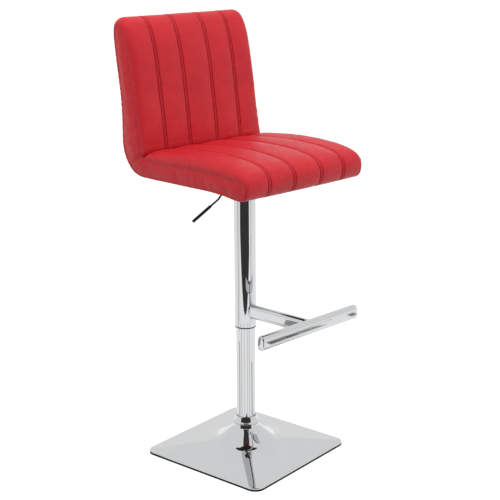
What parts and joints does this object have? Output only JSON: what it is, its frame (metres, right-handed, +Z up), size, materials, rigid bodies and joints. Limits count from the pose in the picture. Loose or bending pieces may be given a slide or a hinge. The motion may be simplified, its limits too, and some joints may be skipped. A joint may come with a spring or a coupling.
{
  "type": "adjustable swivel bar stool",
  "caption": "Bar stool with a quilted padded seat and back on a telescoping gas-lift column with a footrest, a height lever and a square domed base.",
  "frame": {"origin": "on the floor, on the column's axis", "axes": "+Z up along the column; the seat faces -Y; the height lever is on the -X side, the sitter's right"},
  "size_m": [0.423, 0.5036, 1.163],
  "materials": {
    "chrome": "polished chrome plate",
    "cover_leather": "soft grained faux leather, satin",
    "foam": "open-cell foam, matt",
    "plywood": "raw plywood",
    "black_steel": "black powder coat, satin",
    "zinc_steel": "zinc plated",
    "ground_steel": "ground and hardened",
    "black_plastic": "moulded, fine matt grain",
    "black_rubber": "matt",
    "iron": "rough cast, painted black",
    "lining": "non-woven black cloth"
  },
  "bodies": {
    "base": {"base_shell": "chrome", "edge_trim": "black_rubber", "base_weight": "iron", "floor_pads": "black_rubber", "base_bolts": "zinc_steel", "neck_ring": "chrome", "column_flange": "black_steel", "column_tube": "chrome", "bearing_seat": "zinc_steel", "guide_bush": "black_plastic", "wear_ring": "black_plastic", "lower_race": "ground_steel"},
    "bearing": {"bearing_balls": "ground_steel", "bearing_cage": "black_plastic"},
    "swivel": {"upper_race": "ground_steel", "piston_rod": "ground_steel", "retaining_clip": "zinc_steel", "bump_stop": "black_rubber", "piston": "black_plastic"},
    "lift": {"rod_gland": "black_plastic", "gas_cylinder": "black_steel", "valve_body": "zinc_steel", "sleeve_tube": "chrome", "sleeve_ring": "black_plastic", "sleeve_cap": "black_plastic", "footrest_bar": "chrome", "footrest_caps": "chrome", "footrest_arm": "chrome", "taper_hub": "black_steel", "seat_plate": "black_steel", "lever_pin": "zinc_steel", "tee_nuts": "zinc_steel", "bolt_washers": "zinc_steel", "seat_bolts": "zinc_steel", "back_brackets": "zinc_steel", "bracket_screws": "zinc_steel", "seat_board": "plywood", "back_board": "plywood", "dust_cover": "lining", "seat_foam": "foam", "back_foam": "foam", "seat_cover": "cover_leather", "back_cover": "cover_leather"},
    "lever": {"lever_rod": "black_steel", "lever_grip": "black_plastic"},
    "valve": {"valve_pin": "ground_steel"}
  },
  "joints": [
    {"name": "seat_turn", "type": "hinge", "parent": "base", "child": "swivel", "pos_m": [0, 0, 0], "axis": [0, 0, 1], "continuous": true},
    {"name": "bearing_roll", "type": "hinge", "parent": "base", "child": "bearing", "pos_m": [0, 0, 0], "axis": [0, 0, 1], "continuous": true},
    {"name": "seat_lift", "type": "slide", "parent": "swivel", "child": "lift", "axis": [0, 0, 1], "range_m": [-0.215, 0]},
    {"name": "lever_pull", "type": "hinge", "parent": "lift", "child": "lever", "pos_m": [-0.021, 0, 0.7442], "axis": [0, 1, 0], "range_deg": [0, 7.5], "stiffness_Nm_per_rad": 8, "springref_deg": -2.86},
    {"name": "valve_press", "type": "slide", "parent": "lift", "child": "valve", "axis": [0, 0, -1], "range_m": [0, 0.003]}
  ],
  "couplings": [
    {"joint": "bearing_roll", "follows": "seat_turn", "ratio": 0.5},
    {"joint": "valve_press", "follows": "lever_pull", "m_per_rad": 0.021}
  ]
}
